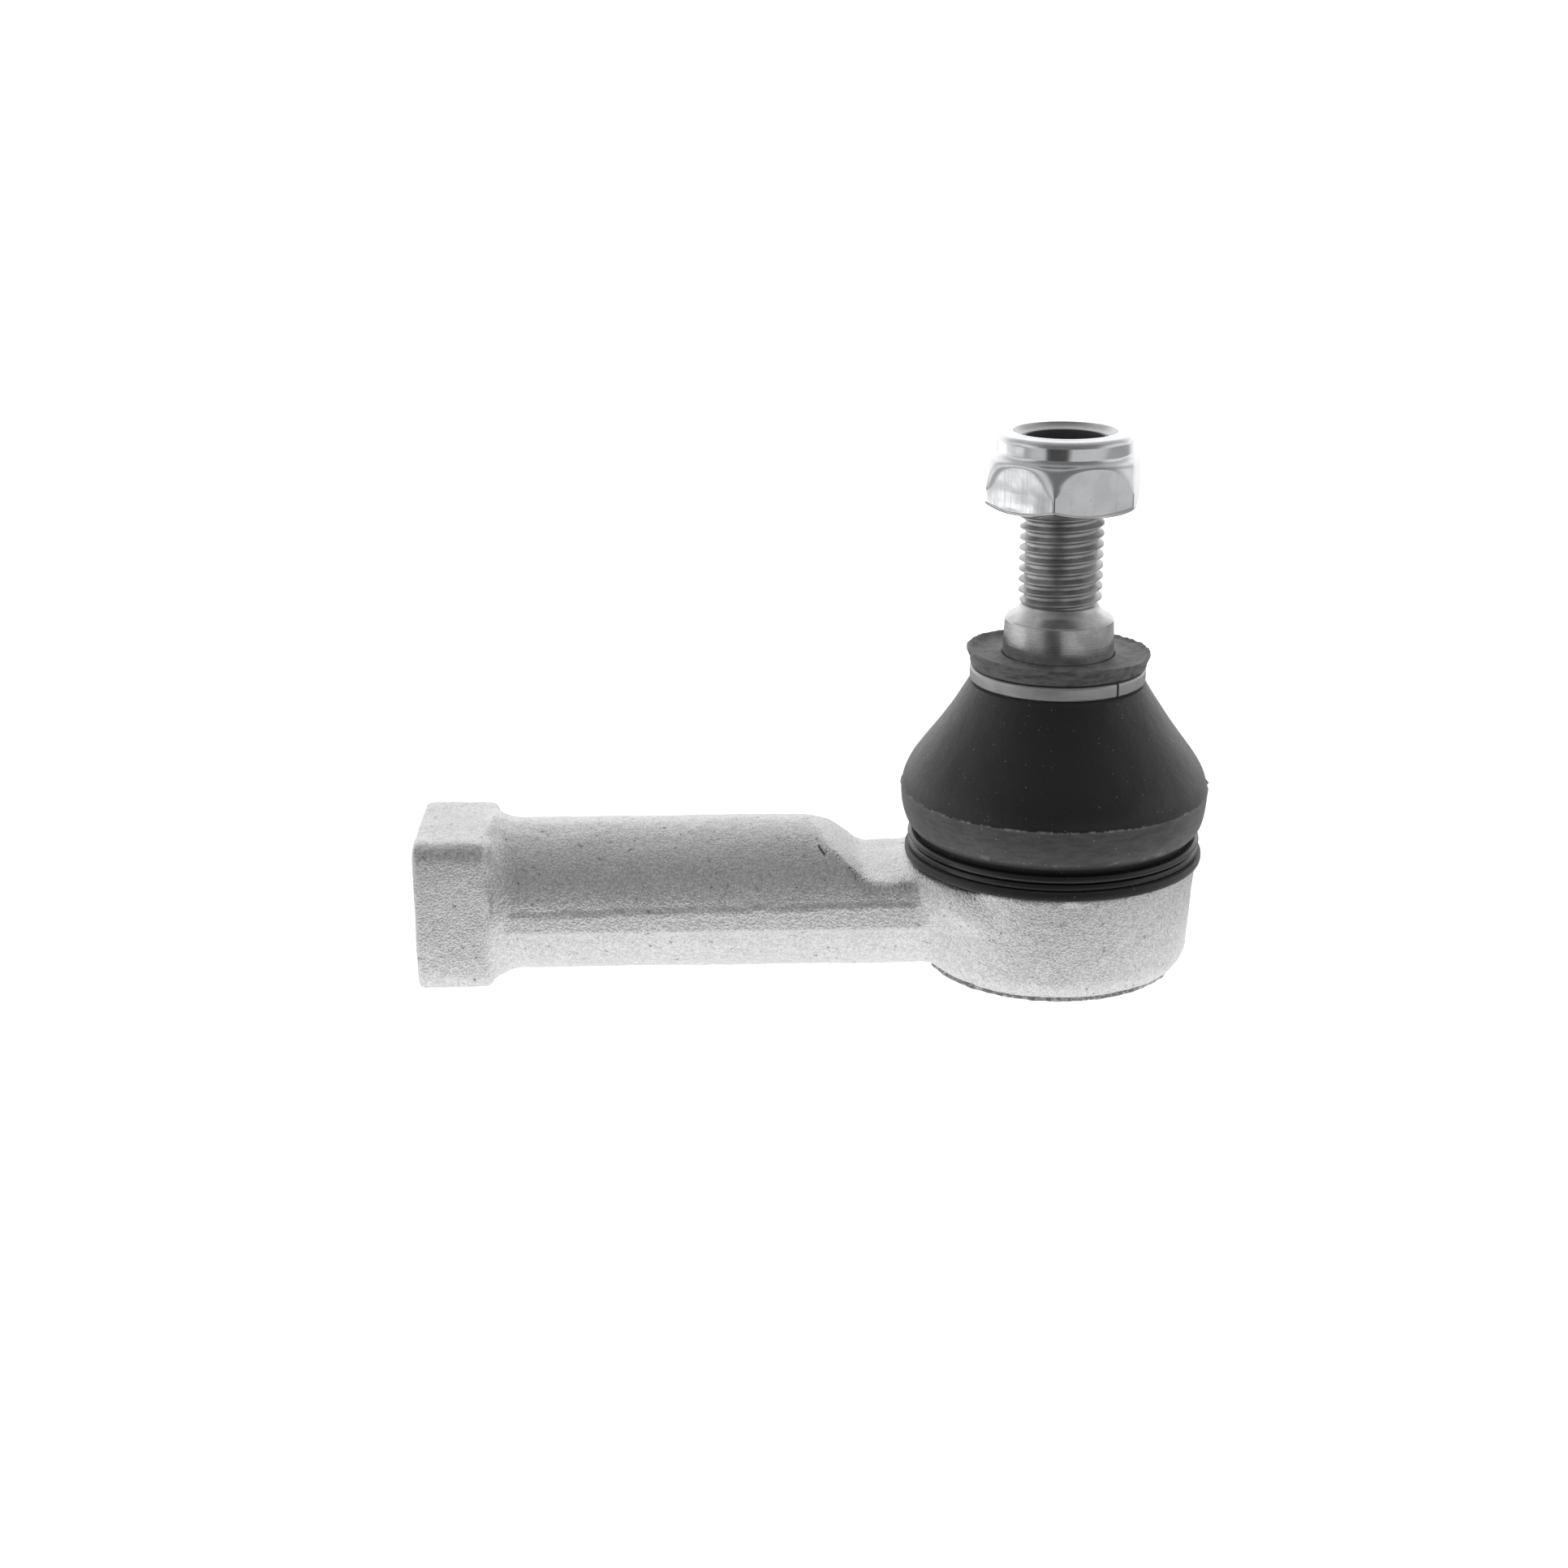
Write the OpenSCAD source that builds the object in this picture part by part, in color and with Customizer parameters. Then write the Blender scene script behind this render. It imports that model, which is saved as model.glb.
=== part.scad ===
// Tie rod end with a female shank: ball joint, dust boot and self-locking nut.
// Millimetres. The origin is the centre of the ball, +Z points out along the
// stud, and the shank runs along -X, a little below the ball.

/* [Ball stud] */
// Diameter of the ball
ball_d = 22; // [21:0.5:23]
// Diameter of the neck between ball and taper
neck_d = 11; // [10:0.5:11.5]
// Diameter at the small end of the 1:10 taper
taper_d = 12.75; // [12.5:0.05:13.5]
// Height of the small end of the taper above the ball centre
taper_z = 26.8; // [25.5:0.1:27]
// Major diameter of the stud's thread
thread_d = 10; // [9:0.5:10.5]
// Pitch of the stud's thread
thread_pitch = 1.25; // [1:0.25:1.5]
// Height where the full thread begins
thread_z = 28.9; // [28.5:0.1:30]
// Number of thread turns
thread_turns = 13; // [11:1:14]

/* [Lock nut] */
// Width across the nut's flats
nut_af = 17; // [16:0.5:19]
// Height of the nut
nut_h = 8.8; // [8.5:0.1:10]
// Height of the nut's lower face above the ball centre
nut_z = 40.1; // [39:0.1:41]
// Turn of the nut's front corner away from the shank's side view
nut_turn = -14; // [-30:1:30]

/* [Housing] */
// Radius of the head just below the boot
head_r = 17.3; // [17:0.1:18]
// Radius of the head at the crimped lower edge
foot_r = 15.6; // [15.4:0.1:16.2]
// Depth of the lower edge below the ball centre
foot_drop = 16.2; // [16.2:0.05:17]
// Depth of the shoulder that carries the boot's flange
shoulder_drop = 2.5; // [2.2:0.1:2.8]
// Radius of the bore that holds the bearing seats
cavity_r = 13; // [12.5:0.1:13.2]

/* [Shank] */
// Distance from the ball centre to the shank's end
shank_l = 76.6; // [70:1:100]
// Depth of the shank's axis below the ball centre
shank_drop = 7; // [6.5:0.1:7.5]
// Diameter of the shank
shank_d = 18.4; // [18:0.1:20]
// Width across the wrench flats of the collar
collar_w = 18.6; // [18.4:0.1:21]
// Length of the collar
collar_l = 9.2; // [7:0.1:12]
// Minor diameter of the shank's internal thread, 10.64 for M12 x 1.25
socket_d = 10.64; // [9:0.02:12]
// Length of the internal thread
socket_l = 42; // [30:1:43]

/* [Dust boot] */
// Largest radius of the boot
boot_r = 18.3; // [18:0.1:18.6]
// Thickness of the boot's wall
boot_t = 1.6; // [1.2:0.1:1.8]
// Radius of the lip that seals on the steering arm
lip_r = 10.7; // [10.4:0.1:11]

/* [Hidden] */
$fn = 96;

// Clearances
run_gap = 0.04;
seal_gap = 0.06;
eps = 0.01;

// Heights below the ball centre are negative
foot_z = -foot_drop;
shoulder_z = -shoulder_drop;
shank_z = -shank_drop;
shank_r = shank_d / 2;

// Ball stud
ball_r = ball_d / 2;
neck_r = neck_d / 2;
ball_flat_z = -10;
neck_top_z = 12;
seal_z = 15;
thread_r = thread_d / 2;
thread_depth = 0.6134 * thread_pitch;
stud_end_z = thread_z + thread_turns * thread_pitch + 0.9;
taper_slope = 0.05;
function taper_r(z) = taper_d / 2 + taper_slope * (taper_z - z);

// Housing
bore_end_z = -13.3;
plug_r = cavity_r + 0.9;
plug_t = 2;
crimp_z = bore_end_z - plug_t;
crimp_r = cavity_r - 0.1;
taper_foot_z = foot_z + 2.4;
groove_r = 15;
groove_top_z = 0.4;
land_r = 16;
mouth_z = 8;
mouth_r = 10.3;
bore_top_z = 4.5;
boss_r = 13.2;
neck_flat_z = shank_z + 3.65;
slope_top_x = -29;
slope_foot_x = -23;
collar_round = 2.2;
band_top = 0.85;
band_low = -2.05;
socket_mouth_r = socket_d / 2 + 1;

// Seats, spring and plug
seat_r = cavity_r - 0.05;
pocket_r = ball_r + run_gap;
seat_split = 0.1;
seat_split_z = -2.5;
seat_top_z = 6.2;
spring_top_z = bore_end_z + 1;
spring_t = 0.55;

// Boot, from the flange upwards
flange_z = shoulder_z + 0.05;
flange_t = 1;
flange_r = boot_r - 0.4;
wire_r = 0.49;
wire_seat_r = 16.55;
wire_ring_r = wire_seat_r + wire_r + 0.01;
wire_z = [-0.94, 0.02];
bulge_foot_z = 0.75;
seam_z = 6.15;
neck_z = 18.9;
ring_z = [19.25, 20.95];
ring_seat_r = 9.2;
ring_r = 10.4;
ring_gap_turn = -56;
ring_gap_w = 0.35;
lip_z = 21.1;
lip_top_z = 22.9;

// Nut, heights from its lower face
collar_nut_r = nut_af / 2 - 0.4;
corner_r = nut_af / sqrt(3);
insert_z = nut_h - 2.35;
insert_t = 1.6;
insert_seat_r = 6.9;
insert_hole_r = 4.6;
rim_r = 6.4;
cone_z = nut_h - 5.9;
shoulder_nut_z = nut_h - 2.85;

// Points along an arc about (cx, cy), from angle a0 to a1 in n steps
function arc(cx, cy, r, a0, a1, n) =
    [for (i = [0:n]) let (a = a0 + (a1 - a0) * i / n) [cx + r * cos(a), cy + r * sin(a)]];

// Points along a Bezier curve of four control points, in n steps
function bezier(p, n) =
    [for (i = [0:n]) let (t = i / n, u = 1 - t)
        u * u * u * p[0] + 3 * u * u * t * p[1] + 3 * u * t * t * p[2] + t * t * t * p[3]];

// A tube, or a cone with a hole, as a solid of revolution about Z
module ring(inner, outer, z0, z1) {
    rotate_extrude() polygon([[inner, z0], [outer, z0], [outer, z1], [inner, z1]]);
}

// Turns a shape drawn along +Z so that it runs along -X on the shank's axis
module along_shank() {
    translate([0, 0, shank_z]) rotate([0, -90, 0]) children();
}

// ---- Housing ----

// Round head: the foot, the drafted side, the shoulder, the groove for the
// boot's bead and the boss that closes over the upper seat
module head_solid() {
    rotate_extrude() polygon([
        [0, foot_z], [foot_r - 0.5, foot_z], [foot_r, foot_z + 0.5],
        [head_r - 0.75, taper_foot_z], [head_r, shoulder_z],
        [groove_r, shoulder_z], [groove_r, groove_top_z], [land_r, groove_top_z],
        [land_r, groove_top_z + 1.2], [boss_r, mouth_z], [0, mouth_z]
    ]);
}

// Room for the seats, the spring and the plug, and the mouth the stud swings in
module head_cavity() {
    rotate_extrude() polygon([
        [0, foot_z - 1], [crimp_r, foot_z - 1], [crimp_r, crimp_z],
        [plug_r, crimp_z], [plug_r, bore_end_z], [cavity_r, bore_end_z],
        [cavity_r, bore_top_z], [mouth_r, mouth_z], [mouth_r, mouth_z + 1], [0, mouth_z + 1]
    ]);
}

// Forged shank with the trimmed band of its parting line on each side
module shank_solid() {
    along_shank() cylinder(r = shank_r, h = shank_l - collar_l / 2);
    translate([-shank_l + collar_l / 2, -shank_r - 0.05, shank_z + band_low])
        cube([shank_l - collar_l / 2, shank_d + 0.1, band_top - band_low]);
}

// The step down from the full shank to the flat beside the head
module neck_cut() {
    rotate([90, 0, 0]) linear_extrude(height = 3 * shank_d, center = true) polygon([
        [slope_top_x, shank_z + shank_r + eps], [slope_foot_x, neck_flat_z], [0, neck_flat_z],
        [0, shank_z + shank_r + 5], [slope_top_x, shank_z + shank_r + 5]
    ]);
}

// Square collar for a wrench, with rounded edges and a cone down to the shank
module collar_solid() {
    w = collar_w / 2 - collar_round;
    along_shank() translate([0, 0, shank_l - collar_l]) {
        linear_extrude(height = collar_l) polygon([
            for (corner = [0:3])
                each arc(w * sqrt(2) * cos(45 + 90 * corner), w * sqrt(2) * sin(45 + 90 * corner),
                         collar_round, 90 * corner, 90 * corner + 90, 8)
        ]);
        translate([0, 0, -1.2]) cylinder(r1 = shank_r, r2 = collar_w / 2 - eps, h = 1.2 + eps);
    }
}

// Threaded socket for the tie rod, open at the shank's end
module socket() {
    along_shank() {
        translate([0, 0, shank_l - socket_l]) cylinder(d = socket_d, h = socket_l + 1);
        translate([0, 0, shank_l - 1]) cylinder(r1 = socket_d / 2, r2 = socket_mouth_r + 0.05, h = 1.05);
        translate([0, 0, shank_l - socket_l - 2.5]) cylinder(r1 = 0.4, r2 = socket_d / 2, h = 2.5 + eps);
    }
}

module housing() {
    color([0.78, 0.79, 0.8]) difference() {
        union() {
            head_solid();
            difference() {
                shank_solid();
                neck_cut();
            }
            collar_solid();
        }
        head_cavity();
        socket();
    }
}

// ---- Inside the head ----

module upper_seat() {
    rim = asin(seat_top_z / pocket_r);
    low = asin(seat_split_z / pocket_r);
    shoulder = (cavity_r - mouth_r) / (mouth_z - bore_top_z);
    color([0.93, 0.91, 0.85]) rotate_extrude() polygon(concat(
        arc(0, 0, pocket_r, low, rim, 24),
        [[seat_r - shoulder * (seat_top_z - bore_top_z), seat_top_z],
         [seat_r, bore_top_z - 0.03], [seat_r, seat_split_z]]
    ));
}

module lower_seat() {
    high = asin((seat_split_z - seat_split) / pocket_r);
    color([0.93, 0.91, 0.85]) rotate_extrude() polygon(concat(
        arc(0, 0, pocket_r, -90, high, 24),
        [[seat_r, seat_split_z - seat_split], [seat_r, spring_top_z + 1],
         [seat_r - 1, spring_top_z], [0, spring_top_z]]
    ));
}

// Disc spring that takes up wear by pressing the lower seat against the ball
module preload_spring() {
    color([0.35, 0.36, 0.38]) rotate_extrude() polygon([
        [7, spring_top_z - spring_t], [7, spring_top_z],
        [seat_r - 0.2, bore_end_z + spring_t], [seat_r - 0.2, bore_end_z]
    ]);
}

// Pressed cover that the head's lower edge is rolled over
module closing_plug() {
    color([0.72, 0.73, 0.74]) rotate_extrude() polygon([
        [0, crimp_z + 0.5], [8, crimp_z + 0.5], [9, crimp_z], [plug_r, crimp_z],
        [plug_r, bore_end_z], [0, bore_end_z]
    ]);
}

// ---- Ball stud ----

// The thread is drawn as separate V grooves, one for each turn
module ball_stud() {
    ball_top = asin(neck_r / ball_r);
    root_r = thread_r - thread_depth;
    crest = thread_pitch / 8;
    color([0.66, 0.67, 0.69]) rotate_extrude() polygon(concat(
        [[0, ball_flat_z]],
        arc(0, 0, ball_r, asin(ball_flat_z / ball_r), 90 - ball_top, 36),
        [[neck_r, neck_top_z]],
        arc(neck_r + 2.2, neck_top_z, 2.2, 180, 120, 6),
        [[taper_r(seal_z), seal_z], [taper_r(taper_z), taper_z], [taper_r(taper_z) - 0.45, taper_z + 0.35]],
        arc(root_r + 1.5, taper_z + 2.1, 1.6, -120, -180, 6),
        [[root_r, thread_z]],
        [for (turn = [0:thread_turns - 1]) each [
            [thread_r, thread_z + (turn + 0.5) * thread_pitch - crest],
            [thread_r, thread_z + (turn + 0.5) * thread_pitch + crest],
            [root_r, thread_z + (turn + 1) * thread_pitch]
        ]],
        [[root_r, stud_end_z - 0.4], [root_r - 0.4, stud_end_z], [0, stud_end_z]]
    ));
}

// ---- Dust boot and its rings ----

module dust_boot() {
    flange_top_z = flange_z + flange_t;
    color([0.1, 0.1, 0.11]) rotate_extrude() polygon(concat(
        // Outside: flange, seat for the wire, bulge, neck, ring groove and lip
        [[groove_r + seal_gap, flange_z], [flange_r, flange_z], [flange_r, flange_top_z],
         [wire_seat_r, flange_top_z], [wire_seat_r, bulge_foot_z]],
        bezier([[boot_r - 1.2, bulge_foot_z], [boot_r - 0.3, 1.4], [boot_r, 3.5], [boot_r, seam_z]], 8),
        bezier([[boot_r, seam_z], [boot_r - 0.3, 9.6], [14.95, 11.45], [10.6, neck_z]], 14),
        [[ring_seat_r, neck_z + 0.1], [ring_seat_r, lip_z], [lip_r - 0.2, lip_z], [lip_r, lip_top_z]],
        // Inside: seal on the stud, hollow and bead in the housing's groove
        [[taper_r(lip_top_z) + seal_gap, lip_top_z - 0.1], [taper_r(17) + seal_gap, 17.2],
         [taper_r(17) + 0.9, 16.8]],
        bezier([[8.6, 17.6], [13, 12.4], [boot_r - boot_t - 0.3, 9.6], [boot_r - boot_t, seam_z]], 12),
        [[land_r + 0.3, 1.7], [land_r + 0.3, groove_top_z - 0.06], [groove_r + seal_gap, groove_top_z - 0.06]]
    ));
}

// Spring wire wound twice round the boot's lower groove
module boot_lower_ring() {
    color([0.05, 0.05, 0.06]) for (z = wire_z)
        rotate_extrude() translate([wire_ring_r, z]) circle(r = wire_r);
}

// Split ring that keeps the boot's neck tight
module boot_upper_ring() {
    round_r = 0.35;
    inner = ring_seat_r + 0.02;
    color([0.62, 0.62, 0.63]) difference() {
        rotate_extrude() polygon(concat(
            [[inner, ring_z[0]]],
            arc(ring_r - round_r, ring_z[0] + round_r, round_r, -90, 0, 4),
            arc(ring_r - round_r, ring_z[1] - round_r, round_r, 0, 90, 4),
            [[inner, ring_z[1]]]
        ));
        rotate([0, 0, ring_gap_turn]) translate([0, -ring_gap_w / 2, ring_z[0] - 1])
            cube([ring_r + 2, ring_gap_w, ring_z[1] - ring_z[0] + 2]);
    }
}

// ---- Lock nut ----

// Nylon ring that grips the thread
module nut_insert() {
    color([0.85, 0.86, 0.86]) translate([0, 0, nut_z])
        ring(insert_hole_r, insert_seat_r - 0.02, insert_z + 0.02, insert_z + insert_t - 0.02);
}

module lock_nut() {
    rim_z = nut_h - 0.75;
    color([0.82, 0.82, 0.83]) translate([0, 0, nut_z]) difference() {
        intersection() {
            rotate([0, 0, 30 + nut_turn]) cylinder(r = corner_r, h = nut_h, $fn = 6);
            rotate_extrude() polygon(concat(
                [[0, 0], [nut_af / 2 - 0.2, 0], [corner_r + 0.1, 0.85], [corner_r + 0.1, cone_z],
                 [corner_r - 0.85, shoulder_nut_z], [collar_nut_r, shoulder_nut_z + 0.35]],
                arc(collar_nut_r - 0.9, nut_h - 1.3, 0.9, 0, 70, 5),
                [[rim_r, nut_h], [0, nut_h]]
            ));
        }
        translate([0, 0, -1]) cylinder(r = thread_r + 0.05, h = nut_h + 2);
        translate([0, 0, -eps]) cylinder(r1 = thread_r + 0.5, r2 = thread_r + 0.05, h = 0.45);
        ring(0, insert_seat_r, insert_z, insert_z + insert_t);
        ring(0, insert_seat_r - 1, rim_z, nut_h + 1);
    }
}

housing();
upper_seat();
lower_seat();
preload_spring();
closing_plug();
ball_stud();
dust_boot();
boot_lower_ring();
boot_upper_ring();
nut_insert();
lock_nut();
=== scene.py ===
"""Tie rod end with a female shank: the looks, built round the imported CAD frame.

Every shape is worked out in millimetres of the row frame (origin at the ball's centre, +Z along
the stud, shank towards -X) and becomes metres when its piece is settled. Heights and radii start
from the boxes of the CAD nodes.
"""

import logging
import math
from abc import ABC, abstractmethod
from collections.abc import Callable, Sequence
from dataclasses import dataclass, field
from enum import Enum

import bmesh
import bpy
from mathutils import Matrix, Vector, noise

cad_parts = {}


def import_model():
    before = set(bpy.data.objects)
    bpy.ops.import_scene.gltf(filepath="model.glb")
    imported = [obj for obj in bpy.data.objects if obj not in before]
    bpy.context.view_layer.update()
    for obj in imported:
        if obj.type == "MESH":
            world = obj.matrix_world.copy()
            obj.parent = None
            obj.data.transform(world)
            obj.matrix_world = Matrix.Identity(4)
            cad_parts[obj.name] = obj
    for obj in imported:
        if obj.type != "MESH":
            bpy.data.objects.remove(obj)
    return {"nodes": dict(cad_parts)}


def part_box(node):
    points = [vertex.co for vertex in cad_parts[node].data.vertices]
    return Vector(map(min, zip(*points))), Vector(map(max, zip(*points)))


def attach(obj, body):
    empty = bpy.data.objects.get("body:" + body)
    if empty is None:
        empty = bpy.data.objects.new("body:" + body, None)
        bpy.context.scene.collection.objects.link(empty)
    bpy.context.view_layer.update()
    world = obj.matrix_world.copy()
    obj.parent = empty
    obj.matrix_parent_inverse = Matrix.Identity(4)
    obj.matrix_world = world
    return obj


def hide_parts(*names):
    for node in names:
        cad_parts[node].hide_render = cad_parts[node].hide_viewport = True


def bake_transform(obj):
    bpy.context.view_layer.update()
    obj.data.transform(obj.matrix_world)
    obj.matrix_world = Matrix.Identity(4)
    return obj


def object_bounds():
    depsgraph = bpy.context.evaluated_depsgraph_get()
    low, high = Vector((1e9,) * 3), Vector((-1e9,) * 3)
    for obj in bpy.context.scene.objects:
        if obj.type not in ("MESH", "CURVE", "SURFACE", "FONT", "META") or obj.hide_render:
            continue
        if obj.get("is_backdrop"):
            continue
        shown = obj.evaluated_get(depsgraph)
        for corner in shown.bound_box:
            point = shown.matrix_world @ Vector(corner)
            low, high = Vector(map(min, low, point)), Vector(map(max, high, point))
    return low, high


MM = 0.001
LOG = logging.getLogger("tie_rod_end")
ROUND = 144  # steps in a full turn of a large round shape
Point = tuple[float, float]
Colour = tuple[float, float, float]
Box = tuple[Vector, Vector]
Thing = bpy.types.Object
Material = bpy.types.Material
Socket = bpy.types.NodeSocket


# ---- Names shared with the record ----


class Body(Enum):
    """The bodies that pieces ride on."""

    HOUSING = "housing"
    BOOT_BASE = "boot_base"
    BOOT_NECK = "boot_neck"
    STUD = "stud"
    NUT_CARRIER = "nut_carrier"
    NUT = "nut"


class Slot(Enum):
    """The record's material slots."""

    FORGING = "blasted_zinc_forging"
    PLUG = "plated_plug"
    STUD = "machined_steel"
    BOOT = "boot_rubber"
    WIRE = "black_wire"
    RING = "ring_grey"
    NYLON = "nylon"
    NUT = "bright_zinc"


class Join(Enum):
    """How one closed solid changes another."""

    ADD = "UNION"
    CUT = "DIFFERENCE"


# ---- Outlines ----


def arc(cx: float, cy: float, radius: float, start: float, end: float, steps: int) -> list[Point]:
    """steps + 1 points along an arc round (cx, cy), from and to an angle in degrees."""
    angles = (math.radians(start + (end - start) * i / steps) for i in range(steps + 1))
    return [(cx + radius * math.cos(a), cy + radius * math.sin(a)) for a in angles]


def bezier(a: Point, b: Point, c: Point, d: Point, steps: int) -> list[Point]:
    """steps + 1 points along a cubic curve from a to d with the handles b and c."""
    shares = ((t, 1 - t) for t in (i / steps for i in range(steps + 1)))
    weights = ((u * u * u, 3 * u * u * t, 3 * u * t * t, t * t * t) for t, u in shares)
    return [tuple(sum(w * p[k] for w, p in zip(row, (a, b, c, d))) for k in (0, 1)) for row in weights]


def dense(outline: Sequence[Point], step: float) -> list[Point]:
    """An outline with points added so that none are further apart than step.

    Args:
        outline: The corners, in order.
        step: Longest chord allowed.

    Returns:
        The same outline with more points.
    """
    points = [outline[0]]
    for (x0, y0), (x1, y1) in zip(outline, outline[1:]):
        count = max(1, math.ceil(math.hypot(x1 - x0, y1 - y0) / step))
        points += [(x0 + (x1 - x0) * i / count, y0 + (y1 - y0) * i / count) for i in range(1, count + 1)]
    return points


def ease(value: float, low: float, high: float) -> float:
    """0 below low, 1 above high and a smooth rise between; low may be the larger one."""
    t = min(1.0, max(0.0, (value - low) / (high - low)))
    return t * t * (3 - 2 * t)


def cad_box(node: str) -> Box:
    """Lowest and highest corner of a CAD node in millimetres."""
    low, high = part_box(node)
    return low / MM, high / MM


# ---- Solids ----


class Form:
    """A closed shape in the making, in millimetres."""

    def __init__(self) -> None:
        """Starts with an empty mesh."""
        self.bm = bmesh.new()

    def _chain(self, outline: Sequence[Point], closed: bool) -> list[bmesh.types.BMVert | bmesh.types.BMEdge]:
        """Draws an outline in the XZ plane.

        Args:
            outline: Radius and height of each point.
            closed: Whether the last point joins the first.

        Returns:
            The new vertices and edges.
        """
        verts = [self.bm.verts.new((r, 0.0, z)) for r, z in outline]
        pairs = list(zip(verts, verts[1:]))
        if closed:
            pairs.append((verts[-1], verts[0]))
        return verts + [self.bm.edges.new(pair) for pair in pairs]

    def weld(self) -> "Form":
        """Merges doubles and turns every face outwards."""
        bmesh.ops.remove_doubles(self.bm, verts=self.bm.verts, dist=1e-4)
        bmesh.ops.recalc_face_normals(self.bm, faces=self.bm.faces)
        return self

    def lathe(
        self,
        outline: Sequence[Point],
        steps: int,
        closed: bool = False,
        begin: float = 0.0,
        sweep: float = 360.0,
    ) -> "Form":
        """Turns an outline round Z.

        Args:
            outline: Radius and height of each point; an open one starts and ends on the axis.
            steps: Number of steps in the sweep.
            closed: Whether the outline is a closed loop clear of the axis.
            begin: Azimuth of the first station, in degrees.
            sweep: Angle swept, in degrees.

        Returns:
            This form.
        """
        geom = self._chain(outline, closed)
        verts = geom[: len(outline)]
        bmesh.ops.rotate(self.bm, verts=verts, cent=(0, 0, 0), matrix=Matrix.Rotation(math.radians(begin), 3, "Z"))
        whole = sweep >= 360
        bmesh.ops.spin(
            self.bm,
            geom=geom,
            cent=(0, 0, 0),
            axis=(0, 0, 1),
            dvec=(0, 0, 0),
            angle=math.radians(sweep),
            steps=steps,
            use_merge=whole,
            use_duplicate=False,
        )
        self.weld()
        if not whole:
            self.close_ends()
        return self

    def close_ends(self) -> "Form":
        """Puts a face on each open loop."""
        rims = [e for e in self.bm.edges if e.is_boundary]
        bmesh.ops.holes_fill(self.bm, edges=rims, sides=0)
        bmesh.ops.recalc_face_normals(self.bm, faces=self.bm.faces)
        return self

    def thread(
        self, root: float, crest: float, pitch: float, low: float, high: float, phase: float, steps: int = 72
    ) -> "Form":
        """A right-hand V thread with flat ends.

        Args:
            root: Radius at the bottom of the V.
            crest: Radius at the top.
            pitch: Rise of one turn.
            low: Height of the lower end.
            high: Height of the upper end.
            phase: Height of a root at azimuth 0.
            steps: Steps in one turn.

        Returns:
            This form.
        """
        rise = (crest - root) * math.tan(math.radians(30))
        land = pitch / 8
        gap = (pitch - land - 2 * rise) / 2
        start = phase + pitch * (math.floor((low - phase) / pitch) - 2)
        outline = [
            (root, 0.0),
            (root, gap),
            (crest, gap + rise),
            (crest, gap + rise + land),
            (root, pitch - gap),
            (root, pitch),
        ]
        turns = math.ceil((high - start) / pitch) + 1
        geom = self._chain([(r, z + start) for r, z in outline], closed=False)
        bmesh.ops.spin(
            self.bm,
            geom=geom,
            cent=(0, 0, 0),
            axis=(0, 0, 1),
            dvec=(0, 0, pitch / steps),
            angle=math.tau * turns,
            steps=steps * turns,
            use_merge=False,
            use_duplicate=False,
        )
        self.weld()
        for height, way in ((low, -1), (high, 1)):
            self.trim((0, 0, height), (0, 0, way))
        return self.close_ends()

    def trim(self, point: Sequence[float], away: Sequence[float]) -> "Form":
        """Cuts off what lies away from a plane through a point, and leaves the cut open."""
        geom = [*self.bm.verts, *self.bm.edges, *self.bm.faces]
        bmesh.ops.bisect_plane(
            self.bm, geom=geom, dist=1e-5, plane_co=point, plane_no=away, use_snap_center=False,
            clear_outer=True, clear_inner=False,
        )
        return self

    def take(self, other: "Form") -> "Form":
        """Takes in another form as a shell of its own."""
        mesh = bpy.data.meshes.new("taken")
        other.bm.to_mesh(mesh)
        other.bm.free()
        self.bm.from_mesh(mesh)
        bpy.data.meshes.remove(mesh)
        return self

    def shape(self, rule: Callable[[Vector], Vector]) -> "Form":
        """Moves each vertex to where a rule puts it."""
        for vert in self.bm.verts:
            vert.co = rule(vert.co)
        return self

    def resize(self, rule: Callable[[Vector, float], float]) -> "Form":
        """Moves each vertex straight out from Z, or in, to a new radius.

        Args:
            rule: Gives the new radius for a vertex and its radius.

        Returns:
            This form.
        """
        for vert in self.bm.verts:
            reach = math.hypot(vert.co.x, vert.co.y)
            if reach > 1:
                wide = rule(vert.co, reach)
                vert.co = Vector((vert.co.x * wide / reach, vert.co.y * wide / reach, vert.co.z))
        return self

    def lay_along_shank(self, axis_z: float) -> "Form":
        """Turns a form made along +Z to run along -X at the shank's height."""
        turn = Matrix.Translation((0, 0, axis_z)) @ Matrix.Rotation(math.radians(-90), 4, "Y")
        bmesh.ops.transform(self.bm, matrix=turn, verts=self.bm.verts)
        return self

    def solid(self, name: str, *paints: Material) -> Thing:
        """Makes the form an object.

        Args:
            name: The object's name.
            *paints: Its materials.

        Returns:
            The object, still in millimetres.
        """
        mesh = bpy.data.meshes.new(name)
        self.bm.to_mesh(mesh)
        self.bm.free()
        for paint in paints:
            mesh.materials.append(paint)
        thing = bpy.data.objects.new(name, mesh)
        bpy.context.scene.collection.objects.link(thing)
        return thing


def apply_modifiers(thing: Thing) -> None:
    """Makes an object's modified mesh its own."""
    graph = bpy.context.evaluated_depsgraph_get()
    mesh = bpy.data.meshes.new_from_object(thing.evaluated_get(graph))
    thing.modifiers.clear()
    before = thing.data
    thing.data = mesh
    bpy.data.meshes.remove(before)


def combine(base: Thing, tool: Thing, how: Join) -> None:
    """Adds a closed tool to a closed base, or cuts it out, and drops the tool.

    Args:
        base: The object that changes.
        tool: The object that is used up; its own finish stays on the faces it makes.
        how: Whether the tool is added or cut out.
    """
    modifier = base.modifiers.new("combine", "BOOLEAN")
    modifier.object = tool
    modifier.operation = how.value
    modifier.solver = "EXACT"
    modifier.material_mode = "TRANSFER"
    apply_modifiers(base)
    bpy.data.objects.remove(tool)


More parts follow.
